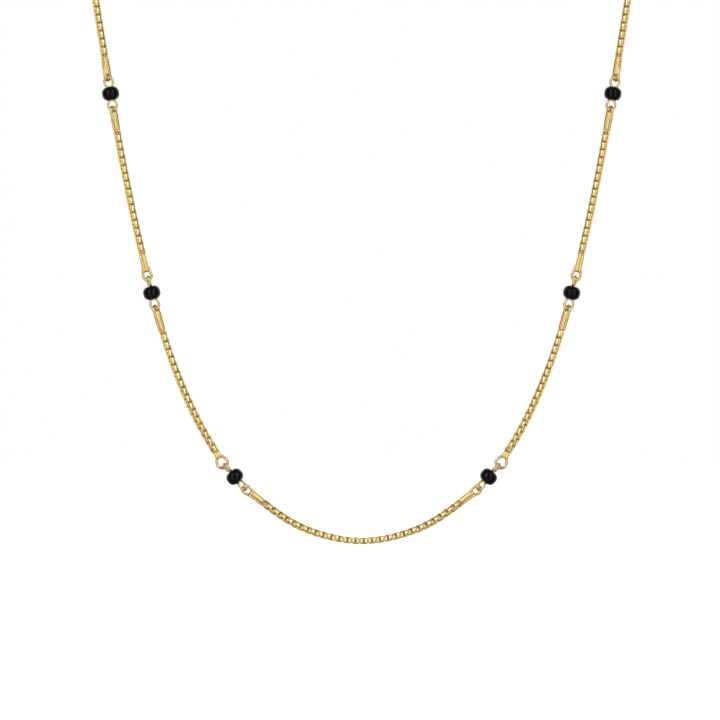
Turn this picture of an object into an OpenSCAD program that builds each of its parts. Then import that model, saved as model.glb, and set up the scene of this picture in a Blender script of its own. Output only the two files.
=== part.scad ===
// A fine box-chain necklace with six single black beads, hanging as it is worn round a neck.
// The origin is at the nape, where the clasp lies. +X is the wearer's left, +Y points to the back and
// +Z points up. The front of the necklace faces -Y.

/* [Chain] */
// Width of the square box chain across its flat sides
chain_w = 1.2; // [1:0.05:1.6]
// Length of one span of the tube where the chain shows
front_span = 3.4; // [2.4:0.2:6]
// Length of one span of the tube behind the neck
back_span = 6.4; // [4:0.2:8]

/* [Beads] */
// Outer diameter of a bead
bead_d = 3.1; // [2.6:0.1:3.6]
// Length of a bead along its hole
bead_len = 2.5; // [2.3:0.1:3]
// Radius of the rounded shoulder of a bead
bead_round = 1.1; // [0.8:0.05:1.15]
// Play between the bead's hole and the wire, on each side
hole_play = 0.25; // [0.15:0.05:0.35]
// Length of chain and loops from the middle of the necklace to the lowest bead
first_bead = 26.6; // [24:0.2:30]
// Length from one bead to the next
bead_pitch = 37; // [32:0.5:40]

/* [Bead wires] */
// Diameter of the wire that forms the two eyes of a bead
eye_wire = 0.5; // [0.4:0.05:0.55]
// Width across an eye
eye_w = 2.1; // [2.05:0.05:2.3]
// Length from the end of a bead to the middle of an eye
eye_reach = 1; // [0.95:0.05:1.2]
// Slant of the eye's two wires where they run into the bead's hole
eye_slant = 45; // [42:1:50]
// Diameter of the wire through the bead
stem_d = 0.4; // [0.3:0.02:0.42]

/* [End loops] */
// Diameter of the wire that forms the ring of an end loop
loop_wire = 0.55; // [0.45:0.05:0.6]
// Outer diameter of the ring on most end loops
ring_d = 2.1; // [2.05:0.05:2.3]
// Diameter of the thicker wire of the wide ring above the lowest beads
wide_wire = 0.7; // [0.6:0.05:0.7]
// Outer diameter of the wide ring above the lowest beads and at the clasp
wide_ring_d = 2.45; // [2.4:0.05:2.8]
// Slant of the two legs that run from the ring along the shank
leg_slant = 45; // [40:1:50]
// Length from the middle of a ring to the shank that closes it
throat = 0.6; // [0.5:0.05:0.7]
// Width of a shank, a square bar with a groove along each side
shank_w = 1.45; // [1.3:0.05:1.6]
// Depth of the groove along each side of a shank
groove = 0.16; // [0.1:0.02:0.2]
// Bevel along each corner of a shank
shank_edge = 0.2; // [0.1:0.02:0.24]

/* [Clasp] */
// Diameter of the clasp's wire
hook_wire = 0.8; // [0.6:0.05:0.9]
// Radius of each bend of the S, to the middle of its wire
hook_r = 1.6; // [1.5:0.1:2]
// Turn of each bend
hook_turn = 235; // [220:5:245]
// Diameter of the ball at each tip
tip_d = 1.1; // [1:0.05:1.3]
// Length of the loop that joins the chain to the clasp, from its ring's middle
clasp_shank = 2.6; // [2.2:0.1:3.4]

/* [Fit] */
// Gap between two pieces that touch on the real necklace
clearance = 0.06; // [0.04:0.01:0.1]

/* [Hidden] */

$fn = 48;
LEFT = 1;
RIGHT = -1;
ABOVE = 1;
BELOW = -1;

// The middle line of one half of the necklace, from the lowest point at the front to the nape, in
// millimetres from that lowest point. The other half is its mirror image.
half_route = [
    [0, 0, 0],
    [6, 0, 0.8],
    [12, 0, 3],
    [17.8, 0, 6.9],
    [23, 0, 11.6],
    [27.4, 0, 17.6],
    [31, 0, 24.3],
    [34, 0, 31.4],
    [36.4, 0, 38.6],
    [38.4, 0, 46],
    [40.5, 0, 54.6],
    [42.4, 0, 63.4],
    [44.1, 0, 72.2],
    [45.6, 0, 81],
    [47, 0, 89.6],
    [48.4, 0, 98.3],
    [49.6, 1.6, 106.4],
    [50, 8, 116],
    [48, 20, 126],
    [42.5, 35, 134],
    [33.5, 48, 139.5],
    [22, 57.5, 142.8],
    [10, 62, 144.2],
    [0, 63, 144.5]
];
last = len(half_route) - 1;
nape = half_route[last];
fine_steps = 12;

// A ring is its outer diameter and its wire.
OUTER = 0;
WIRE = 1;
fine_ring = [ring_d, loop_wire];
wide_ring = [wide_ring_d, wide_wire];
clasp_ring = [wide_ring_d, loop_wire];

// Columns of the bead table, first for the loop below the bead and then for the one above: the length of
// the loop from its ring's middle, its ring, and the turns of loop and eye away from facing the front.
SHANK = 0;
RING = 1;
LOOP_TURN = 2;
EYE_TURN = 3;
low = [[3.6, fine_ring, -24, 48], [2.3, wide_ring, 0, 68]];
mid = [[3.7, fine_ring, 56, -10], [3.7, fine_ring, 8, 72]];
top = [[3.4, fine_ring, 56, -10], [3.1, fine_ring, -54, 10]];
low_arc = first_bead;
mid_arc = first_bead + bead_pitch;
top_arc = first_bead + 2 * bead_pitch;

function seat_of(bead, way) = bead[way == ABOVE ? 1 : 0];
function unit(v) = v / norm(v);
function mirrored(p) = [-p[0], p[1], p[2]];
function knot(i) =
    i < 0 ? mirrored(half_route[-i]) : i > last ? mirrored(half_route[2 * last - i]) : half_route[i];

// A Catmull-Rom curve through the route's points
function between(a, b, c, d, t) =
    (2 * b + (c - a) * t + (2 * a - 5 * b + 4 * c - d) * t * t + (3 * b - a - 3 * c + d) * t * t * t) / 2;
fine = [
    for (i = [0:last - 1])
        for (k = [0:fine_steps - 1])
            between(knot(i - 1), knot(i), knot(i + 1), knot(i + 2), k / fine_steps),
    nape
];
function step_from(i) = i + 1 < len(fine) ? norm(fine[i + 1] - fine[i]) : 0;
fine_arc = [for (i = 0, s = 0; i < len(fine); s = s + step_from(i), i = i + 1) s];
half_length = fine_arc[len(fine) - 1];
along_x = [for (i = [0:len(fine) - 1]) [fine_arc[i], fine[i][0]]];
along_y = [for (i = [0:len(fine) - 1]) [fine_arc[i], fine[i][1]]];
along_z = [for (i = [0:len(fine) - 1]) [fine_arc[i], fine[i][2]]];

// Points on the route, at a length from the lowest point, in the part's frame
function half_at(s) = [lookup(s, along_x), lookup(s, along_y), lookup(s, along_z)] - nape;
function route_at(s) = s < 0 ? mirrored(half_at(-s)) : half_at(s);
function heading(s) = unit(route_at(min(s + 0.4, half_length)) - route_at(min(s, half_length) - 0.4));

// A frame that runs along a direction, with its second axis to the back of the necklace
function to_back(along) = unit([0, 1, 0] - along * along[1]);
function frame_rows(place, along) =
    let (back = to_back(along), across = cross(back, along))
    [for (i = [0:2]) [across[i], back[i], along[i], place[i]]];
module in_frame(place, along) {
    multmatrix(frame_rows(place, along)) children();
}
module on_side(side) {
    mirror([side == RIGHT ? 1 : 0, 0, 0]) children();
}

// Places on one bead's axis, from the bead's middle
eye_bend = (eye_w - eye_wire) / 2;
eye_place = bead_len / 2 + eye_reach;
eye_meet = eye_place - eye_bend / sin(eye_slant);
eye_inner_end = eye_place + eye_bend - eye_wire / 2;
function ring_bend(ring) = (ring[OUTER] - ring[WIRE]) / 2;
function ring_in(end, ring) = end - clearance - ring[WIRE] / 2 + ring_bend(ring);
function ring_place(ring) = ring_in(eye_inner_end, ring);
clasp_ring_place = ring_in(2 * hook_r - hook_wire / 2, clasp_ring);

// Where a loop's ring sits, where its shank points, and where the chain then starts
function ring_centre(arc, way, seat) = route_at(arc) + way * heading(arc) * ring_place(seat[RING]);
function chain_start(arc, way, seat) = arc + way * (ring_place(seat[RING]) + seat[SHANK]);
function loop_heading(arc, way, seat) =
    unit(route_at(chain_start(arc, way, seat)) - ring_centre(arc, way, seat));
function loop_end(arc, way, seat) =
    ring_centre(arc, way, seat) + loop_heading(arc, way, seat) * (seat[SHANK] + clearance);
clasp_ring_centre = [clasp_ring_place, 0, 0];
clasp_chain_end = half_length - clasp_ring_place - clasp_shank;
clasp_heading = unit(route_at(clasp_chain_end) - clasp_ring_centre);
clasp_loop_end = clasp_ring_centre + clasp_heading * (clasp_shank + clearance);

// Colours
gold = [0.88, 0.70, 0.36];
black_glass = [0.05, 0.05, 0.06];

// A bend of round wire in the plane that faces the front, about a middle point
module bend(middle, radius, from, turn, wire) {
    translate([middle[0], 0, middle[1]])
        rotate([90, 0, 0])
            rotate([0, 0, from])
                rotate_extrude(angle = turn)
                    translate([radius, 0])
                        circle(d = wire);
}

// The chain, as a tube with eight sides. Each ring is a frame's place and direction.
tube_sides = 8;
tube_r = chain_w / 2 / cos(180 / tube_sides);
module tube(rings) {
    points = [
        for (ring = rings)
            let (back = to_back(ring[1]), across = cross(back, ring[1]))
            for (k = [0:tube_sides - 1])
                let (a = (k + 0.5) * 360 / tube_sides)
                ring[0] + tube_r * (cos(a) * across + sin(a) * back)
    ];
    n = len(rings);
    walls = [
        for (i = [0:n - 2])
            for (k = [0:tube_sides - 1])
                let (k2 = (k + 1) % tube_sides)
                [i * tube_sides + k, (i + 1) * tube_sides + k, (i + 1) * tube_sides + k2, i * tube_sides + k2]
    ];
    first_cap = [for (k = [0:tube_sides - 1]) k];
    last_cap = [for (k = [tube_sides - 1:-1:0]) (n - 1) * tube_sides + k];
    color(gold) polyhedron(points, concat([first_cap], walls, [last_cap]), convexity = 6);
}

// Rings of a stretch of chain between two lengths of the route, without the two end rings
function rings_between(start, end, span) =
    let (n = max(2, round((end - start) / span)))
    [for (i = [1:n - 1]) let (s = start + (end - start) * i / n) [route_at(s), heading(s)]];

module chain_centre() {
    end = chain_start(low_arc, BELOW, low[0]);
    stop = loop_end(low_arc, BELOW, low[0]);
    aim = loop_heading(low_arc, BELOW, low[0]);
    first = [mirrored(stop), mirrored(aim)];
    tube(concat([first], rings_between(-end, end, front_span), [[stop, -aim]]));
}
module chain_side(side, arc, bead, next_arc, next_bead) {
    start = chain_start(arc, ABOVE, bead[1]);
    end = chain_start(next_arc, BELOW, next_bead[0]);
    first = [loop_end(arc, ABOVE, bead[1]), loop_heading(arc, ABOVE, bead[1])];
    final = [loop_end(next_arc, BELOW, next_bead[0]), -loop_heading(next_arc, BELOW, next_bead[0])];
    on_side(side) tube(concat([first], rings_between(start, end, front_span), [final]));
}
module chain_back(side) {
    start = chain_start(top_arc, ABOVE, top[1]);
    first = [loop_end(top_arc, ABOVE, top[1]), loop_heading(top_arc, ABOVE, top[1])];
    final = [clasp_loop_end, -clasp_heading];
    on_side(side) tube(concat([first], rings_between(start, clasp_chain_end, back_span), [final]));
}

// A bead: a thick ring with round shoulders and a wide mouth at each end of its hole
module bead_section() {
    hole_r = stem_d / 2 + hole_play;
    half = bead_len / 2;
    mouth_r = (half - eye_meet) * tan(eye_slant) + eye_wire / 2 / cos(eye_slant) + 2 * clearance;
    mouth_depth = (mouth_r - hole_r) / tan(eye_slant);
    shoulder = bead_d / 2 - bead_round;
    difference() {
        union() {
            for (z = [-1, 1])
                translate([shoulder, z * (half - bead_round)])
                    circle(r = bead_round);
            translate([shoulder, bead_round - half])
                square([bead_round, bead_len - 2 * bead_round]);
            translate([0, -half])
                square([shoulder, bead_len]);
        }
        translate([0, -half - 1])
            square([hole_r, bead_len + 2]);
        for (z = [-1, 1])
            polygon([
                [0, z * (half - mouth_depth)],
                [hole_r, z * (half - mouth_depth)],
                [mouth_r, z * half],
                [mouth_r, z * (half + 1)],
                [0, z * (half + 1)]
            ]);
    }
}
module bead(side, arc) {
    color(black_glass)
        on_side(side)
            in_frame(route_at(arc), heading(arc))
                rotate_extrude()
                    intersection() {
                        bead_section();
                        translate([0, -bead_len])
                            square([bead_d, 2 * bead_len]);
                    }
}

// An open ring of wire about a middle on the axis, and its two straight legs, which slant in to the axis
// and stop at a length from it.
module open_ring(middle, bend_r, wire, slant, stop) {
    leg_start = [bend_r * cos(slant), 0, bend_r * sin(slant)];
    bend([0, middle], bend_r, 180 - slant, 180 + 2 * slant, wire);
    for (side = [0, 1])
        mirror([side, 0, 0])
            translate([0, 0, middle])
                translate(leg_start)
                    rotate([0, -slant, 0])
                        cylinder(d = wire, h = (leg_start[0] - stop) / sin(slant));
}

// The wire that carries a bead, with an eye bent at each end
module eye() {
    translate([0, 0, 2 * eye_place])
        rotate([180, 0, 0])
            open_ring(eye_place, eye_bend, eye_wire, eye_slant, 0);
}
module bead_wire(side, arc, bead) {
    stem_end = eye_meet + eye_wire / 4;
    color(gold)
        on_side(side)
            in_frame(route_at(arc), heading(arc)) {
                rotate([0, 0, bead[1][EYE_TURN]])
                    eye();
                rotate([180, 0, -bead[0][EYE_TURN]])
                    eye();
                translate([0, 0, -stem_end])
                    cylinder(d = stem_d, h = 2 * stem_end);
            }
}

// An end loop: an open ring of wire whose two legs are soldered along a shank, a short square bar with a
// groove along each side, which is soldered to the chain. It stands along +Z with the ring's middle at the
// origin.
shank_half = shank_w / 2;
shank_quarter = [
    [shank_half - groove, 0],
    [shank_half, groove],
    [shank_half, shank_half - shank_edge],
    [shank_half - shank_edge, shank_half],
    [groove, shank_half]
];
function quarter_turned(p, k) = k == 0 ? p : quarter_turned([-p[1], p[0]], k - 1);
shank_outline = [
    for (k = [0:3])
        for (p = shank_quarter)
            quarter_turned(p, k)
];
module end_loop(ring, shank) {
    open_ring(0, ring_bend(ring), ring[WIRE], leg_slant, ring[WIRE] / 2 + clearance);
    translate([0, 0, throat])
        linear_extrude(shank - throat)
            polygon(shank_outline);
}
module bead_loop(side, arc, way, bead) {
    seat = seat_of(bead, way);
    color(gold)
        on_side(side)
            in_frame(ring_centre(arc, way, seat), loop_heading(arc, way, seat))
                rotate([0, 0, seat[LOOP_TURN]])
                    end_loop(seat[RING], seat[SHANK]);
}
module clasp_loop(side) {
    color(gold)
        on_side(side)
            in_frame(clasp_ring_centre, clasp_heading)
                rotate([0, 0, 90])
                    end_loop(clasp_ring, clasp_shank);
}

// The clasp, a plain S of wire with a ball at each tip
module clasp_hook() {
    color(gold)
        for (half_turn = [0, 180])
            rotate([0, half_turn, 0]) {
                bend([-hook_r, 0], hook_r, 0, hook_turn, hook_wire);
                translate([hook_r * (cos(hook_turn) - 1), 0, hook_r * sin(hook_turn)])
                    sphere(d = tip_d);
            }
}

chain_centre();
chain_side(LEFT, low_arc, low, mid_arc, mid);  // chain_lower_left
chain_side(RIGHT, low_arc, low, mid_arc, mid);  // chain_lower_right
chain_side(LEFT, mid_arc, mid, top_arc, top);  // chain_upper_left
chain_side(RIGHT, mid_arc, mid, top_arc, top);  // chain_upper_right
chain_back(LEFT);  // chain_back_left
chain_back(RIGHT);  // chain_back_right
bead(LEFT, low_arc);  // bead_low_left
bead(RIGHT, low_arc);  // bead_low_right
bead(LEFT, mid_arc);  // bead_mid_left
bead(RIGHT, mid_arc);  // bead_mid_right
bead(LEFT, top_arc);  // bead_top_left
bead(RIGHT, top_arc);  // bead_top_right
bead_wire(LEFT, low_arc, low);  // bead_wire_low_left
bead_wire(RIGHT, low_arc, low);  // bead_wire_low_right
bead_wire(LEFT, mid_arc, mid);  // bead_wire_mid_left
bead_wire(RIGHT, mid_arc, mid);  // bead_wire_mid_right
bead_wire(LEFT, top_arc, top);  // bead_wire_top_left
bead_wire(RIGHT, top_arc, top);  // bead_wire_top_right
bead_loop(LEFT, low_arc, BELOW, low);  // loop_below_low_left
bead_loop(RIGHT, low_arc, BELOW, low);  // loop_below_low_right
bead_loop(LEFT, low_arc, ABOVE, low);  // loop_above_low_left
bead_loop(RIGHT, low_arc, ABOVE, low);  // loop_above_low_right
bead_loop(LEFT, mid_arc, BELOW, mid);  // loop_below_mid_left
bead_loop(RIGHT, mid_arc, BELOW, mid);  // loop_below_mid_right
bead_loop(LEFT, mid_arc, ABOVE, mid);  // loop_above_mid_left
bead_loop(RIGHT, mid_arc, ABOVE, mid);  // loop_above_mid_right
bead_loop(LEFT, top_arc, BELOW, top);  // loop_below_top_left
bead_loop(RIGHT, top_arc, BELOW, top);  // loop_below_top_right
bead_loop(LEFT, top_arc, ABOVE, top);  // loop_above_top_left
bead_loop(RIGHT, top_arc, ABOVE, top);  // loop_above_top_right
clasp_loop(LEFT);  // loop_at_clasp_left
clasp_loop(RIGHT);  // loop_at_clasp_right
clasp_hook();
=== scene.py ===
# A mangalsutra: a fine gold-plated box chain with six single black glass beads wired into it, hanging
# as it is worn, with its S-shaped clasp behind the neck. Lengths are in metres and the front faces -Y.

import bpy
import numpy as np
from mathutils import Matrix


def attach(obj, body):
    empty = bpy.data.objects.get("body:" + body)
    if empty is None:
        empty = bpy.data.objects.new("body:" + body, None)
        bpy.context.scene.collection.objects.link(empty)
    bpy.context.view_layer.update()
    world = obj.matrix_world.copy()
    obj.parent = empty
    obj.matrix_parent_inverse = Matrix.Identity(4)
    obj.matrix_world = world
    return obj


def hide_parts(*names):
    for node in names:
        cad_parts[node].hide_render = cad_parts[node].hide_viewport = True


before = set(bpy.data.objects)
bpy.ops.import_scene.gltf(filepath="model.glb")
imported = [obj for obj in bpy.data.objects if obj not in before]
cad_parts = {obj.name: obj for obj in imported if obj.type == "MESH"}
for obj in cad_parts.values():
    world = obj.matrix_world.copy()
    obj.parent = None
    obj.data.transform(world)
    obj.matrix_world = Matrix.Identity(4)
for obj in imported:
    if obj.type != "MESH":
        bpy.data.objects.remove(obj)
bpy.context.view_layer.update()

# The view: a level camera with a long lens looks straight at the front of the necklace, low enough that
# the stretch behind the neck stays above the picture.
FRONT_Y = -0.063
VIEW_CENTRE = (-0.00031, FRONT_Y, -0.1116)
VIEW_WIDTH = 0.1309
CAMERA_AWAY = 0.9
SENSOR = 0.036
NEAREST, FARTHEST = 0.05, 50

lens = bpy.data.cameras.new("long_lens")
lens.sensor_width = SENSOR * 1000
lens.lens = SENSOR * 1000 * CAMERA_AWAY / VIEW_WIDTH
lens.clip_start, lens.clip_end = NEAREST, FARTHEST
camera = bpy.data.objects.new("camera", lens)
camera.location = (VIEW_CENTRE[0], VIEW_CENTRE[1] - CAMERA_AWAY, VIEW_CENTRE[2])
camera.rotation_euler = (np.pi / 2, 0, 0)
bpy.context.scene.collection.objects.link(camera)
bpy.context.scene.camera = camera
bpy.context.scene.view_settings.view_transform = "Standard"

# The studio: white paper walls before and behind, grey at both sides and in a gap at the camera, dim above
# and below, with a small soft box to each side of the camera. Polished metal and glass mirror all this. A
# lamp overhead lights the floor, and the camera itself sees a plain white background.
FRONT_WHITE = "#FFFFFF"
BACK_WHITE = "#FAF9F7"
GAP_GREY = "#5E5B57"
SIDE_GREY = "#524E47"
ROOM_DIM = "#928D85"
BACKGROUND = "#FFFFFF"
# Where the gap, the front wall and the grey side fade into what follows, in radians round from the camera
GAP_EDGE, FRONT_EDGE, BACK_EDGE = (0.03, 0.3), (0.65, 1.2), (1.45, 1.95)
# Where the walls fade in from below and out above, as the height of a direction of length 1
WALL_LOW, WALL_HIGH = (-0.85, -0.4), (0.5, 0.95)
WALL_STRENGTH = 1.25
# The middle of a soft box, as radians round and height, and where its edge fades, as distances from there
BOX_MIDDLE, BOX_EDGE = (0.65, 0.5), (0.05, 0.22)
BOX_STRENGTH = 5.0
LAMP_HEIGHT, LAMP_SIZE, LAMP_POWER = 0.9, 0.9, 16.0


def linear(code):
    """An sRGB hex colour as linear RGBA.

    Each channel v becomes v / 12.92 up to 0.04045, and ((v + 0.055) / 1.055) to the power 2.4 above it.
    """
    v = np.array([int(code[i : i + 2], 16) for i in (1, 3, 5)]) / 255
    rgb = np.where(v <= 0.04045, v / 12.92, ((v + 0.055) / 1.055) ** 2.4)
    return (*rgb.tolist(), 1.0)


def add_node(tree, kind, inputs=None, **settings):
    """Adds a node with its settings. An input is a value, or another node's output, which is linked to it."""
    node = tree.nodes.new(kind)
    for name, value in settings.items():
        setattr(node, name, value)
    for name, value in (inputs or {}).items():
        if isinstance(value, bpy.types.NodeSocket):
            tree.links.new(value, node.inputs[name])
        else:
            node.inputs[name].default_value = value
    return node


studio = bpy.data.worlds.new("studio")
bpy.context.scene.world = studio
studio.use_nodes = True
tree = studio.node_tree
tree.nodes.clear()
direction = add_node(tree, "ShaderNodeTexCoord").outputs["Generated"]
part = add_node(tree, "ShaderNodeSeparateXYZ", {"Vector": direction}).outputs
forward = add_node(tree, "ShaderNodeMath", {0: part["Y"], 1: -1.0}, operation="MULTIPLY").outputs[0]
angle = add_node(tree, "ShaderNodeMath", {0: part["X"], 1: forward}, operation="ARCTAN2").outputs[0]
away = add_node(tree, "ShaderNodeMath", {0: angle}, operation="ABSOLUTE").outputs[0]
bearing = add_node(tree, "ShaderNodeCombineXYZ", {"X": away, "Y": part["Z"]}).outputs[0]
from_box = add_node(
    tree, "ShaderNodeVectorMath", {0: bearing, 1: (*BOX_MIDDLE, 0)}, operation="DISTANCE"
).outputs["Value"]

# Each soft step: what it follows, where it starts and ends, and the values that it goes from and to
soft_steps = (
    (away, GAP_EDGE, (0, 1)),
    (away, FRONT_EDGE, (0, 1)),
    (away, BACK_EDGE, (0, 1)),
    (part["Z"], WALL_LOW, (0, 1)),
    (part["Z"], WALL_HIGH, (1, 0)),
    (from_box, BOX_EDGE, (BOX_STRENGTH, WALL_STRENGTH)),
)
past_gap, past_front, past_side, above_low, below_high, strength = (
    add_node(
        tree,
        "ShaderNodeMapRange",
        {"Value": value, "From Min": start, "From Max": end, "To Min": low, "To Max": high},
        interpolation_type="SMOOTHSTEP",
    ).outputs["Result"]
    for value, (start, end), (low, high) in soft_steps
)
upright = add_node(
    tree, "ShaderNodeMath", {0: above_low, 1: below_high}, operation="MULTIPLY"
).outputs[0]
walls = linear(GAP_GREY)
for past, colour in ((past_gap, FRONT_WHITE), (past_front, SIDE_GREY), (past_side, BACK_WHITE)):
    walls = add_node(
        tree, "ShaderNodeMix", {"Factor": past, "A": walls, "B": linear(colour)}, data_type="RGBA"
    ).outputs["Result"]
room = add_node(
    tree, "ShaderNodeMix", {"Factor": upright, "A": linear(ROOM_DIM), "B": walls}, data_type="RGBA"
).outputs["Result"]
light = add_node(tree, "ShaderNodeBackground", {"Color": room, "Strength": strength}).outputs[0]
plain = add_node(tree, "ShaderNodeBackground", {"Color": linear(BACKGROUND)}).outputs[0]
seen = add_node(tree, "ShaderNodeLightPath").outputs["Is Camera Ray"]
shown = add_node(tree, "ShaderNodeMixShader", {0: seen, 1: light, 2: plain}).outputs[0]
add_node(tree, "ShaderNodeOutputWorld", {"Surface": shown})

overhead = bpy.data.lights.new("overhead_lamp", "AREA")
overhead.size = LAMP_SIZE
overhead.energy = LAMP_POWER
lamp = bpy.data.objects.new("overhead_lamp", overhead)
lamp.location = (0, 0, LAMP_HEIGHT)
lamp.visible_glossy = False
bpy.context.scene.collection.objects.link(lamp)

# The floor: a matte white sheet just under the lowest link. It runs out into the plain background far
# from the necklace, so no edge or horizon shows. The polished metal mirrors the dim studio below instead.
FLOOR_Z = -0.1456
FLOOR_HALF = 12.0
FLOOR_WHITE = "#F0F0EE"
FADE_FROM, FADE_TO = 0.12, 0.7

corners = [(x * FLOOR_HALF, y * FLOOR_HALF, FLOOR_Z) for x, y in ((-1, -1), (1, -1), (1, 1), (-1, 1))]
sheet = bpy.data.meshes.new("floor")
sheet.from_pydata(corners, [], [(0, 1, 2, 3)])
floor = bpy.data.objects.new("floor", sheet)
bpy.context.scene.collection.objects.link(floor)

# Uncoated paper: it scatters light evenly and has no gloss
matte_sheet = bpy.data.materials.new("matte_white_sheet")
matte_sheet.use_nodes = True
tree = matte_sheet.node_tree
tree.nodes.clear()
place = add_node(tree, "ShaderNodeTexCoord").outputs["Object"]
distance = add_node(tree, "ShaderNodeVectorMath", {0: place}, operation="LENGTH").outputs["Value"]
fade = add_node(
    tree,
    "ShaderNodeMapRange",
    {"Value": distance, "From Min": FADE_FROM, "From Max": FADE_TO},
    interpolation_type="SMOOTHSTEP",
).outputs["Result"]
paper = add_node(
    tree, "ShaderNodeBsdfPrincipled", {"Base Color": linear(FLOOR_WHITE), "Roughness": 0.9}
).outputs[0]
glow = add_node(tree, "ShaderNodeEmission", {"Color": linear(BACKGROUND)}).outputs[0]
both = add_node(tree, "ShaderNodeMixShader", {0: fade, 1: paper, 2: glow}).outputs[0]
mirrored = add_node(tree, "ShaderNodeLightPath").outputs["Is Glossy Ray"]
clear = add_node(tree, "ShaderNodeBsdfTransparent").outputs[0]
shown = add_node(tree, "ShaderNodeMixShader", {0: mirrored, 1: both, 2: clear}).outputs[0]
add_node(tree, "ShaderNodeOutputMaterial", {"Surface": shown})
sheet.materials.append(matte_sheet)

# The box chain: small links, each a strip of brass bent into a square and soldered shut, and each turned
# a quarter round from the last. Tumbling rounds their bends and gold plate covers them. The chain takes up
# twist as it hangs, so it rolls a little along its length. Seven stretches run between the end loops.
LINK_W = 0.00124
LINK_PITCH = 0.00074
STRIP_W = 0.00092
STRIP_T = 0.00016
END_T = 0.000372
BEND_R = 0.0003
INNER_BEND_R = 0.00003
EDGE_R = 0.00006
CLEARANCE = 0.00006
# Degrees between two faces past which their edge is sharp, and tumbling leaves no such edge
CHAIN_SHARP = 180
CHAIN_GOLD = "#F9E8AC"
WORN_GOLD = "#F2D48C"
# The brown of the painted shade in the links' recesses
PAINTED_SHADE_GOLD = "#977230"
# The plate is a little redder or paler every 2 mm or so
WEAR_SIZE = 0.0018
# Tumbling leaves faint dimples about 0.4 mm apart, drawn that coarse so that they show
DIMPLE_SIZE = 0.0004
DIMPLE_DEPTH = 0.00002

# Half of the middle line, from the lowest point to the nape, in metres from the lowest point
HALF_ROUTE = np.array(
    [
        [0, 0, 0],
        [0.006, 0, 0.0008],
        [0.012, 0, 0.003],
        [0.0178, 0, 0.0069],
        [0.023, 0, 0.0116],
        [0.0274, 0, 0.0176],
        [0.031, 0, 0.0243],
        [0.034, 0, 0.0314],
        [0.0364, 0, 0.0386],
        [0.0384, 0, 0.046],
        [0.0405, 0, 0.0546],
        [0.0424, 0, 0.0634],
        [0.0441, 0, 0.0722],
        [0.0456, 0, 0.081],
        [0.047, 0, 0.0896],
        [0.0484, 0, 0.0983],
        [0.0496, 0.0016, 0.1064],
        [0.05, 0.008, 0.116],
        [0.048, 0.02, 0.126],
        [0.0425, 0.035, 0.134],
        [0.0335, 0.048, 0.1395],
        [0.022, 0.0575, 0.1428],
        [0.01, 0.062, 0.1442],
        [0, 0.063, 0.1445],
    ]
)
ROUTE_STEPS = 12
CHORD_REACH = 0.0004
MIRROR = np.array([-1.0, 1.0, 1.0])
BACK = np.array([0.0, 1.0, 0.0])
SIDES = {"left": 1, "right": -1}

# The chain's roll about its middle line in degrees, at millimetres along it to both sides of the lowest point
ROLL_AT = [0, 6, 12, 20, 32, 38, 44, 50, 57, 71, 94, 107, 227]
ROLL = [0, -8, -26, -42, -43, -40, -31, -16, -14, -17, -17, -18, -20]

# The stations of the beads: length along the middle line, then for the loops below and above the bead the
# shank's length, the ring, the ring's turn from the front, and the turn of the eye in it, both in degrees.
# A ring is its outer diameter, its wire, and the slant of its two legs in degrees.
FINE_RING = (0.00214, 0.00058, 12)
WIDE_RING = (0.00254, 0.00058, 30)
CLASP_RING = (0.00245, 0.00055, 20)
STATIONS = {
    "low": (0.0266, (0.0036, FINE_RING, -24, 48), (0.0021, WIDE_RING, 0, 68)),
    "mid": (0.0636, (0.0037, FINE_RING, 56, -10), (0.0037, FINE_RING, 8, 72)),
    "top": (0.1006, (0.0034, FINE_RING, 56, -10), (0.0031, FINE_RING, -54, 10)),
}
BELOW, ABOVE = -1, 1

# The chain starts where the loops' shanks end, and the loops hang in the beads' eyes and in the clasp
BEAD_LEN = 0.0025
EYE_WIRE = 0.0005
EYE_W = 0.0021
EYE_REACH = 0.001
CLASP_SHANK = 0.0026
HOOK_R = 0.0016
HOOK_WIRE = 0.0008
eye_bend = (EYE_W - EYE_WIRE) / 2
eye_place = BEAD_LEN / 2 + EYE_REACH


def unit(v):
    """Vectors divided by their lengths."""
    return v / np.linalg.norm(v, axis=-1, keepdims=True)


def smooth_line(points, steps):
    """A Catmull-Rom curve through all points but the two outer ones, with even steps of t between them.

    From b to c it is (2b + (c - a)t + (2a - 5b + 4c - d)t^2 + (3b - a - 3c + d)t^3) / 2.
    """
    a, b, c, d = (points[i : len(points) - 3 + i, None] for i in range(4))
    t = (np.arange(steps) / steps)[None, :, None]
    curve = (2 * b + (c - a) * t + (2 * a - 5 * b + 4 * c - d) * t**2 + (3 * b - a - 3 * c + d) * t**3) / 2
    return np.vstack([curve.reshape(-1, 3), points[-2]])


half_line = smooth_line(
    np.vstack([HALF_ROUTE[1] * MIRROR, HALF_ROUTE, HALF_ROUTE[-2] * MIRROR]), ROUTE_STEPS
)
half_arc = np.append(0, np.cumsum(np.linalg.norm(np.diff(half_line, axis=0), axis=1)))
line = np.vstack([half_line[:0:-1] * MIRROR, half_line]) - HALF_ROUTE[-1]
line_arc = np.append(-half_arc[:0:-1], half_arc)


def route_at(arc):
    """Points of the middle line, at lengths along it from the lowest point, positive to the wearer's left."""
    return np.stack([np.interp(arc, line_arc, line[:, k]) for k in range(3)], -1)


def heading(arc):
    """Unit directions of the middle line: the chord from a little before each length to a little after it."""
    low, high = np.maximum(arc - CHORD_REACH, line_arc[0]), np.minimum(arc + CHORD_REACH, line_arc[-1])
    return unit(route_at(high) - route_at(low))


def rows_along(along):
    """Frames whose last row runs along a direction, the middle one to the back, and the first across."""
    back = unit(BACK - along * along[..., 1:2])
    return np.stack([np.cross(back, along), back, along], -2)


def ring_in(end, ring):
    """Where a ring's middle is, if its wire lies against the inner end of an eye or a bend."""
    outer, wire, _ = ring
    return end - CLEARANCE - wire / 2 + (outer - wire) / 2


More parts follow.
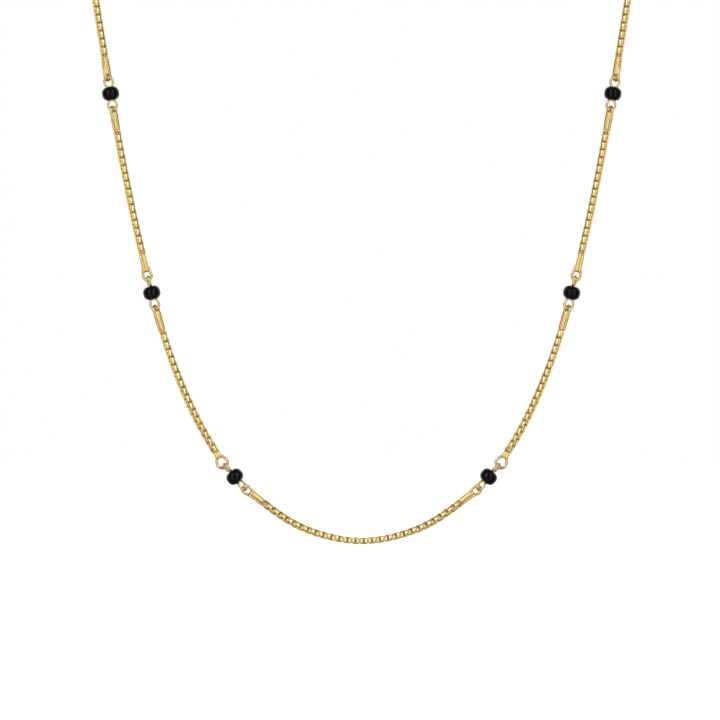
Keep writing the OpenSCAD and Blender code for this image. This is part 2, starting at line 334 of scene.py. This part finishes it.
def ring_place(ring):
    """How far a ring's middle is from the bead's."""
    return ring_in(eye_place + eye_bend - EYE_WIRE / 2, ring)


def chain_start(station, way):
    """The length at which the chain starts, below or above a bead."""
    arc, below, above = STATIONS[station]
    shank, ring = (above if way == ABOVE else below)[:2]
    return arc + way * (ring_place(ring) + shank)


def square_link():
    """One link as a grid: 12 stations round a rounded square, each with the 6 corners of the strip's section.

    A point at a depth d is r (cos a, sin a) from the middle of its bend, where r = bend - d. The strip is
    upset where it closes round its neighbours, so there the depths are scaled up to the ends' thickness.
    """
    a = np.radians(np.add.outer([0, 90, 180, 270], [0, 45, 90])).reshape(-1, 1)
    corner_x, corner_z = np.repeat([[1, 1], [-1, 1], [-1, -1], [1, -1]], 3, axis=0).T[..., None]
    half = STRIP_W / 2
    across = np.array([-half, EDGE_R - half, half - EDGE_R, half, half, -half])
    depth = np.array([EDGE_R, 0, 0, EDGE_R, STRIP_T, STRIP_T])
    r = np.maximum(BEND_R - depth, INNER_BEND_R)
    x = corner_x * (LINK_W / 2 - depth - r) + r * np.cos(a)
    z = corner_z * (LINK_PITCH / 2 + END_T - depth * END_T / STRIP_T - r) + r * np.sin(a)
    return np.stack([x, across + 0 * x, z], -1)


def grid_faces(rows, columns, round_rows, round_columns):
    """Four-sided faces of a grid of points, which may close on itself along either parameter."""
    i = np.arange(rows if round_rows else rows - 1)[:, None]
    k = np.arange(columns if round_columns else columns - 1)[None, :]
    i2, k2 = (i + 1) % rows, (k + 1) % columns
    faces = np.stack([i * columns + k, i2 * columns + k, i2 * columns + k2, i * columns + k2], -1)
    return faces.reshape(-1, 4)


def facing_out(points, faces):
    """The faces, all turned over if the volume that they enclose is negative.

    Its sign is that of the sum of a . (b x c) over the two triangles of each face.
    """
    a, b, c, d = (points[faces[:, k]] for k in range(4))
    volume = (a * np.cross(b, c)).sum() + (a * np.cross(c, d)).sum()
    return faces if volume > 0 else faces[:, ::-1]


def add_piece(name, surfaces, material, sharp):
    """A piece from closed surfaces, each its points, its arrays of faces and a value for each point: its
    painted shade, and on a loop's bar also the bar's own gold and its solder.

    Edges stay sharp where their faces meet at more than the given angle in degrees.
    """
    points, faces, painted_shade_and_tone = zip(*surfaces)
    starts = np.cumsum([0, *map(len, points)])
    joined = []
    for start, arrays in zip(starts, faces):
        for array in arrays:
            joined += (start + array).tolist()
    mesh = bpy.data.meshes.new(name)
    mesh.from_pydata(np.vstack(points), [], joined)
    mesh.shade_smooth()
    mesh.set_sharp_from_angle(angle=np.radians(sharp))
    mesh.attributes.new("painted_shade_and_tone", "FLOAT", "POINT").data.foreach_set("value", np.concatenate(painted_shade_and_tone))
    mesh.materials.append(material)
    piece = bpy.data.objects.new(name, mesh)
    bpy.context.scene.collection.objects.link(piece)
    return piece


# Tumbled gold plate: pale and softly glossy outside, with painted shade, brown, in the recesses between the
# links and on the strips' inner faces
chain_gold = bpy.data.materials.new("tumbled_gold_plated_brass")
chain_gold.use_nodes = True
tree = chain_gold.node_tree
tree.nodes.clear()
place = add_node(tree, "ShaderNodeTexCoord").outputs["Object"]
painted_shade_and_tone = add_node(tree, "ShaderNodeAttribute", attribute_name="painted_shade_and_tone").outputs["Fac"]
wear = add_node(
    tree, "ShaderNodeTexNoise", {"Vector": place, "Scale": 1 / WEAR_SIZE, "Detail": 1.0}
).outputs["Fac"]
plate = linear(CHAIN_GOLD)
# Painted shade, brown, where a point lies deep, then the random tone of wear
for share, colour in ((painted_shade_and_tone, PAINTED_SHADE_GOLD), (wear, WORN_GOLD)):
    plate = add_node(
        tree, "ShaderNodeMix", {"Factor": share, "A": plate, "B": linear(colour)}, data_type="RGBA"
    ).outputs["Result"]
dimples = add_node(
    tree, "ShaderNodeTexNoise", {"Vector": place, "Scale": 1 / DIMPLE_SIZE, "Detail": 2.0}
).outputs["Fac"]
bump = add_node(
    tree, "ShaderNodeBump", {"Strength": 0.25, "Distance": DIMPLE_DEPTH, "Height": dimples}
).outputs[0]
metal = add_node(
    tree,
    "ShaderNodeBsdfPrincipled",
    {"Base Color": plate, "Metallic": 1.0, "Roughness": 0.3, "Normal": bump},
).outputs[0]
add_node(tree, "ShaderNodeOutputMaterial", {"Surface": metal})

link = square_link()
stations_round, section_corners = link.shape[:2]
link_points = link.reshape(-1, 3)
link_faces = facing_out(link_points, grid_faces(stations_round, section_corners, True, True))
link_length = LINK_PITCH + 2 * END_T
# How much painted shade each point of a link gets: the ends between the neighbours, and the strip's inner
# face
ROUND_PAINTED_SHADE = [0, 0.3, 0.6, 0.6, 0.3, 0] * 2
SECTION_PAINTED_SHADE = [0.3, 0, 0, 0.3, 1, 1]
link_painted_shade = np.maximum.outer(ROUND_PAINTED_SHADE, SECTION_PAINTED_SHADE).ravel()


def chain_surface(start, end):
    """A stretch of chain, with its links at even lengths along the middle line.

    Each link is turned about the line by the chain's roll there, and each second one by 90 degrees more.
    """
    count = round((end - start - link_length) / LINK_PITCH) + 1
    arcs = np.linspace(start + link_length / 2, end - link_length / 2, count)
    rows = rows_along(heading(arcs))
    turn = np.radians(np.interp(np.abs(arcs) * 1000, ROLL_AT, ROLL) + 90 * (np.arange(count) % 2))
    c, s = np.cos(turn)[:, None], np.sin(turn)[:, None]
    across, back = c * rows[:, 0] + s * rows[:, 1], c * rows[:, 1] - s * rows[:, 0]
    points = route_at(arcs)[:, None] + link_points @ np.stack([across, back, rows[:, 2]], 1)
    faces = link_faces + np.arange(count)[:, None, None] * len(link_points)
    return points.reshape(-1, 3), [faces.reshape(-1, 4)], np.tile(link_painted_shade, count)


low_start = chain_start("low", BELOW)
clasp_ring_place = ring_in(2 * HOOK_R - HOOK_WIRE / 2, CLASP_RING)
clasp_end = line_arc[-1] - clasp_ring_place - CLASP_SHANK
stretches = {"centre": (-low_start, low_start)}
for side, sign in SIDES.items():
    for name, start, end in (
        ("lower", chain_start("low", ABOVE), chain_start("mid", BELOW)),
        ("upper", chain_start("mid", ABOVE), chain_start("top", BELOW)),
        ("back", chain_start("top", ABOVE), clasp_end),
    ):
        stretches[f"{name}_{side}"] = sorted((sign * start, sign * end))
for name, (start, end) in stretches.items():
    surface = chain_surface(start + CLEARANCE, end - CLEARANCE)
    piece = add_piece(f"box_chain_{name}", [surface], chain_gold, CHAIN_SHARP)
    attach(piece, "root")
    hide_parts(f"chain_{name}")

# The end loops: a drawn wire bent into an open ring, whose two legs are soldered along a short square bar.
# The bar has a groove along each side, and solder joins its end to the first link. Where it starts is given
# from the ring's middle as a part of the ring's size: rings that are turned on edge are pinched nearly shut.
OPEN_THROAT, SHUT_THROAT, ROUND_THROAT = 0.3, 0.05, 0.36
# Degrees past which a ring is on edge, and past which the slant of its legs makes it a round one
ON_EDGE, ROUND_SLANT = 45, 25
# Degrees that the clasp's loops are turned from the plane of the S
CLASP_TURN = 90
LEG_STEPS, RING_STEPS = 8, 44
WIRE_SIDES = 16
WIRE_SHARP = 60
SHANK_SIDES = 48
SHANK_TAPER = 0.1
LOBE_R = 0.00042
LOBE_OUT = 0.00034
SOLDER = 0.00012
# Rows of the bar: millimetres past its start or its end, size, and how brown it is with solder
BAR_START = [(0, 0.3, 1), (0.01, 0.62, 1), (0.08, 0.8, 0.8), (0.2, 0.92, 0.4), (0.4, 0.98, 0), (0.7, 1, 0)]
BAR_END = [(-0.4, 1, 0), (-0.06, 1, 0), (0, 0.9, 0), (0.01, 0.5, 0), (0.7, 0.5, 0)]
# How steeply the painted shade in a groove turns brown towards its bottom, and the value that gives a bar its
# own gold
GROOVE_SHADE_POWER = 6
BAR_TONE_LEVEL = 0.2
WIRE_GOLD = "#E4CC96"
BAR_GOLD = "#F5DA96"
# The brown of the solder at a bar's start and of the painted shade at the bottom of its grooves
GROOVE_SHADE_AND_SOLDER_BROWN = "#B07C34"
# Die marks and handling leave ripples about 0.3 mm long
RIPPLE_SIZE = 0.0003
RIPPLE_DEPTH = 0.00001

# Drawn and polished gold plate: glossier than the chain, paler on the wire than on the bar, brown at solder,
# and with painted shade, brown, down in the bar's grooves
wire_gold = bpy.data.materials.new("polished_gold_plated_wire")
wire_gold.use_nodes = True
tree = wire_gold.node_tree
tree.nodes.clear()
place = add_node(tree, "ShaderNodeTexCoord").outputs["Object"]
painted_shade_and_tone = add_node(tree, "ShaderNodeAttribute", attribute_name="painted_shade_and_tone").outputs["Fac"]
plate = linear(WIRE_GOLD)
for low, high, colour in ((0, BAR_TONE_LEVEL, BAR_GOLD), (BAR_TONE_LEVEL, 1, GROOVE_SHADE_AND_SOLDER_BROWN)):
    share = add_node(
        tree,
        "ShaderNodeMapRange",
        {"Value": painted_shade_and_tone, "From Min": low, "From Max": high},
        interpolation_type="SMOOTHSTEP",
    ).outputs["Result"]
    plate = add_node(
        tree, "ShaderNodeMix", {"Factor": share, "A": plate, "B": linear(colour)}, data_type="RGBA"
    ).outputs["Result"]
ripples = add_node(
    tree, "ShaderNodeTexNoise", {"Vector": place, "Scale": 1 / RIPPLE_SIZE, "Detail": 2.0}
).outputs["Fac"]
bump = add_node(
    tree, "ShaderNodeBump", {"Strength": 0.2, "Distance": RIPPLE_DEPTH, "Height": ripples}
).outputs[0]
metal = add_node(
    tree,
    "ShaderNodeBsdfPrincipled",
    {"Base Color": plate, "Metallic": 1.0, "Roughness": 0.2, "Normal": bump},
).outputs[0]
add_node(tree, "ShaderNodeOutputMaterial", {"Surface": metal})


def closed_ends(points, faces, sides):
    """The faces of a tube, and one more on each end, which faces out as they do."""
    first, final = np.arange(sides), np.arange(len(points) - sides, len(points))
    turned_over = faces[0, 1] != sides
    return [faces, np.array([first[::-1], final] if turned_over else [first, final[::-1]])]


def wire_surface(path, radius, closed):
    """Round wire on a path in the plane y = 0.

    It is path(u) + r(u) (cos v n(u) + sin v y), with n in the plane and square to the path.
    """
    ahead = np.roll(path, -1, 0) - np.roll(path, 1, 0) if closed else np.gradient(path, axis=0)
    along = unit(ahead)
    normal = np.stack([along[:, 2], 0 * along[:, 0], -along[:, 0]], -1)
    v = np.arange(WIRE_SIDES) * 2 * np.pi / WIRE_SIDES
    circle = np.cos(v)[None, :, None] * normal[:, None] + np.sin(v)[None, :, None] * BACK
    points = (path[:, None] + np.reshape(radius, (-1, 1, 1)) * circle).reshape(-1, 3)
    faces = facing_out(points, grid_faces(len(path), WIRE_SIDES, closed, True))
    return points, [faces] if closed else closed_ends(points, faces, WIRE_SIDES), np.zeros(len(points))


def arc_line(middle, radius, start, turn, count):
    """Points round a middle (x, z): middle + radius (cos a, sin a).

    The angle a goes from start through turn, in degrees.
    """
    a = np.radians(start + turn * np.linspace(0, 1, count))
    return np.stack([middle[0] + radius * np.cos(a), 0 * a, middle[1] + radius * np.sin(a)], -1)


def open_ring(bend, slant, stop):
    """The wire's line up one straight leg, round the ring and down the other leg. Both stop at |x| = stop."""
    start_x, start_z = bend * np.cos(np.radians(slant)), bend * np.sin(np.radians(slant))
    far_z = start_z + (start_x - stop) / np.tan(np.radians(slant))
    leg = np.linspace([stop, 0, far_z], [start_x, 0, start_z], LEG_STEPS, endpoint=False)
    ring = arc_line((0, 0), bend, slant, -180 - 2 * slant, RING_STEPS)
    return np.vstack([leg, ring, (leg * MIRROR)[::-1]])


def fluted_bar(shank, throat):
    """The shank: a closed tube r(v, z) of four lobes, each a circle R whose middle is d away from the axis.

    r = d cos w + sqrt(R^2 - d^2 sin^2 w), w being the angle from the nearest lobe. The ring's end is rounded
    and brown with solder, and a thin plug of solder goes on from the other one into the first link.
    """
    v = np.arange(SHANK_SIDES) * 2 * np.pi / SHANK_SIDES
    w = v % (np.pi / 2) - np.pi / 4
    lobes = LOBE_OUT * np.cos(w) + np.sqrt(LOBE_R**2 - (LOBE_OUT * np.sin(w)) ** 2)
    end = shank + SOLDER
    past, size, browned = np.array(BAR_START + BAR_END).T[..., None]
    z = np.repeat([throat, end], [len(BAR_START), len(BAR_END)])[:, None] + past / 1000
    radius = size * (1 + SHANK_TAPER * (0.5 - (z - throat) / (end - throat))) * lobes
    points = np.stack([radius * np.cos(v), radius * np.sin(v), z + 0 * v], -1).reshape(-1, 3)
    faces = facing_out(points, grid_faces(len(z), SHANK_SIDES, False, True))
    # Painted shade: each groove darkens to brown towards its bottom
    groove_shade = np.abs(w / (np.pi / 4)) ** GROOVE_SHADE_POWER
    painted_shade_and_tone = np.maximum(np.maximum(browned, groove_shade), BAR_TONE_LEVEL).ravel()
    return points, closed_ends(points, faces, SHANK_SIDES), painted_shade_and_tone


def turned(points, degrees):
    """Points turned about the z axis."""
    c, s = np.cos(np.radians(degrees)), np.sin(np.radians(degrees))
    return points @ np.array([[c, s, 0], [-s, c, 0], [0, 0, 1]])


def on_side(sign, surface):
    """A surface of the wearer's left, or its mirror image on the right with its faces turned over."""
    points, faces, painted_shade_and_tone = surface
    return surface if sign > 0 else (points * MIRROR, [array[:, ::-1] for array in faces], painted_shade_and_tone)


def stand(surface, middle, along):
    """A surface that stands along +Z at the origin, turned along a direction and moved to a middle."""
    points, *rest = surface
    return (middle + points @ rows_along(along), *rest)


def loop_surface(ring, shank, degrees, middle, foot):
    """An end loop's wire and bar at its middle, turned about its length and pointing to its chain's foot."""
    outer, wire, slant = ring
    line = open_ring((outer - wire) / 2, slant, wire / 2)
    shut_or_open = SHUT_THROAT if abs(degrees) > ON_EDGE else OPEN_THROAT
    throat = outer * (ROUND_THROAT if slant > ROUND_SLANT else shut_or_open)
    surfaces = [wire_surface(line, wire / 2, False), fluted_bar(shank, throat)]
    along = unit(foot - middle)
    return [stand((turned(points, degrees), *rest), middle, along) for points, *rest in surfaces]


for side, sign in SIDES.items():
    for station, (arc, below, above) in STATIONS.items():
        for way_name, way, loop in (("below", BELOW, below), ("above", ABOVE, above)):
            shank, ring, degrees, _ = loop
            middle = route_at(arc) + way * heading(arc) * ring_place(ring)
            foot = route_at(chain_start(station, way))
            parts = [on_side(sign, part) for part in loop_surface(ring, shank, degrees, middle, foot)]
            piece = add_piece(f"end_loop_{way_name}_{station}_{side}", parts, wire_gold, WIRE_SHARP)
            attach(piece, "root")
            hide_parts(f"loop_{way_name}_{station}_{side}")
    middle = np.array([clasp_ring_place, 0, 0])
    loop = loop_surface(CLASP_RING, CLASP_SHANK, CLASP_TURN, middle, route_at(clasp_end))
    parts = [on_side(sign, part) for part in loop]
    piece = add_piece(f"end_loop_at_clasp_{side}", parts, wire_gold, WIRE_SHARP)
    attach(piece, "root")
    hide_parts(f"loop_at_clasp_{side}")

# The bead wires: a thin wire through each bead, bent into an eye at both ends that holds the ring of an end
# loop. The eye's two sides run together where they go into the mouth of the bead's hole.
STEM_D = 0.0004
EYE_DROP = 0.00115
EYE_STEPS, STEM_STEPS = 72, 12


def bead_wire(below_turn, above_turn):
    """Both eyes and the stem, along +Z with the bead's middle at the origin.

    An eye is (b cos a, c sin a) round its middle, c being the bend b above it and the longer drop below it.
    The stem reaches a quarter of the eye's wire past the eye's nearest point.
    """
    a = np.arange(EYE_STEPS) * 2 * np.pi / EYE_STEPS
    up = np.where(np.sin(a) > 0, eye_bend, EYE_DROP) * np.sin(a)
    eye = np.stack([eye_bend * np.cos(a), 0 * a, eye_place + up], -1)
    points, *rest = wire_surface(eye, EYE_WIRE / 2, True)
    upper = (turned(points, above_turn), *rest)
    lower = (turned(points * [1, -1, -1], -below_turn), *rest)
    stem_end = eye_place - EYE_DROP + EYE_WIRE / 4
    stem = wire_surface(np.linspace([0, 0, -stem_end], [0, 0, stem_end], STEM_STEPS), STEM_D / 2, False)
    return [upper, lower, stem]


for side, sign in SIDES.items():
    for station, (arc, below, above) in STATIONS.items():
        wire = [stand(part, route_at(arc), heading(arc)) for part in bead_wire(below[3], above[3])]
        parts = [on_side(sign, part) for part in wire]
        piece = add_piece(f"eyed_wire_{station}_{side}", parts, wire_gold, WIRE_SHARP)
        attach(piece, "root")
        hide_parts(f"bead_wire_{station}_{side}")

# The beads: opaque black glass, wound thick and fire-polished, so their shoulders are round and glossy
# and the drilled hole opens into a worn mouth at each end.
BEAD_D = 0.00316
BEAD_ROUND = 0.0011
HOLE_R = 0.00045
HOLE_DEPTH = 0.00045
MOUTH_R = 0.00066
MOUTH_DEPTH = 0.00015
LIP_R = 0.00006
LIP_INSIDE, LIP_TOP = 0.00005, 0.00001
SHOULDER_STEPS = 16
BEAD_COLUMNS = 64
BEAD_SHARP = 40
GLASS_BLACK = "#030304"
# The melted surface is uneven over about 0.8 mm
WAVE_SIZE = 0.0008
WAVE_DEPTH = 0.00005

# Fire-polished glass: nearly black, under a smooth clear gloss
black_glass = bpy.data.materials.new("fire_polished_black_glass")
black_glass.use_nodes = True
tree = black_glass.node_tree
tree.nodes.clear()
place = add_node(tree, "ShaderNodeTexCoord").outputs["Object"]
waves = add_node(
    tree, "ShaderNodeTexNoise", {"Vector": place, "Scale": 1 / WAVE_SIZE, "Detail": 1.0}
).outputs["Fac"]
bump = add_node(
    tree, "ShaderNodeBump", {"Strength": 0.15, "Distance": WAVE_DEPTH, "Height": waves}
).outputs[0]
glass = add_node(
    tree,
    "ShaderNodeBsdfPrincipled",
    {
        "Base Color": linear(GLASS_BLACK),
        "Roughness": 0.08,
        "IOR": 1.5,
        "Specular IOR Level": 0.16,
        "Normal": bump,
    },
).outputs[0]
add_node(tree, "ShaderNodeOutputMaterial", {"Surface": glass})


def bead_surface():
    """A lathe shape: the profile's radius r(u) and height z(u) turned to (r cos v, r sin v, z).

    From the lower end the profile runs from the hole out through the mouth and over its lip, and then up the
    shoulder, with R the rounding: r = shoulder + R cos a, z = R + R sin a - half. The upper end mirrors it.
    """
    shoulder, half = BEAD_D / 2 - BEAD_ROUND, BEAD_LEN / 2
    end = np.arcsin((MOUTH_R + LIP_R - shoulder) / BEAD_ROUND)
    a = np.linspace(end - np.pi / 2, 0, SHOULDER_STEPS)
    shoulder_r = shoulder + BEAD_ROUND * np.cos(a)
    shoulder_z = BEAD_ROUND + BEAD_ROUND * np.sin(a) - half
    lip_z = shoulder_z[0]
    lower_r = np.append([HOLE_R, HOLE_R, MOUTH_R - LIP_R, MOUTH_R], shoulder_r)
    lower_z = np.append(
        [HOLE_DEPTH - half, MOUTH_DEPTH - half, lip_z + LIP_INSIDE, lip_z + LIP_TOP], shoulder_z
    )
    r = np.append(lower_r, lower_r[-2::-1])[:, None]
    z = np.append(lower_z, -lower_z[-2::-1])[:, None]
    v = np.arange(BEAD_COLUMNS) * 2 * np.pi / BEAD_COLUMNS
    points = np.stack([r * np.cos(v), r * np.sin(v), z + 0 * v], -1).reshape(-1, 3)
    faces = facing_out(points, grid_faces(len(r), BEAD_COLUMNS, True, True))
    return points, [faces], np.zeros(len(points))


for side, sign in SIDES.items():
    for station, (arc, *_) in STATIONS.items():
        surface = on_side(sign, stand(bead_surface(), route_at(arc), heading(arc)))
        piece = add_piece(f"glass_bead_{station}_{side}", [surface], black_glass, BEAD_SHARP)
        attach(piece, "root")
        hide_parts(f"bead_{station}_{side}")

# The clasp: a plain S of thick wire behind the neck, with a ball melted on each tip. The loops of both
# sides hang in its two bends.
HOOK_TURN = 235
HOOK_STEPS = 60
TIP_D = 0.0011
BALL_STEPS = 6
BALL_FLAT = 0.12
HALF_TURN = np.array([-1, 1, -1])


def s_hook():
    """Two bends that meet at the origin; near each tip the radius follows a ball, sqrt(R^2 - distance^2).

    Past the tip the ball has the radius R sin a at the distance R cos a, a being least at its small flat end.
    """
    bend = arc_line((-HOOK_R, 0), HOOK_R, 0, HOOK_TURN, HOOK_STEPS)
    path = np.vstack([bend[:0:-1], bend * HALF_TURN])
    step = np.linalg.norm(np.diff(path, axis=0), axis=1).mean()
    along = np.arange(len(path)) * step
    to_tip = np.minimum(along, along[::-1])
    radius = np.maximum(HOOK_WIRE / 2, np.sqrt(np.maximum((TIP_D / 2) ** 2 - to_tip**2, 0)))
    a = np.linspace(BALL_FLAT, np.pi / 2, BALL_STEPS, endpoint=False)
    ball = TIP_D / 2 * np.sin(a)
    cap = path[0] + unit(path[0] - path[1]) * (TIP_D / 2 * np.cos(a))[:, None]
    path = np.vstack([cap, path, (cap * HALF_TURN)[::-1]])
    return wire_surface(path, np.concatenate([ball, radius, ball[::-1]]), False)


piece = add_piece("s_clasp", [s_hook()], wire_gold, WIRE_SHARP)
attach(piece, "root")
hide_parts("clasp_hook")
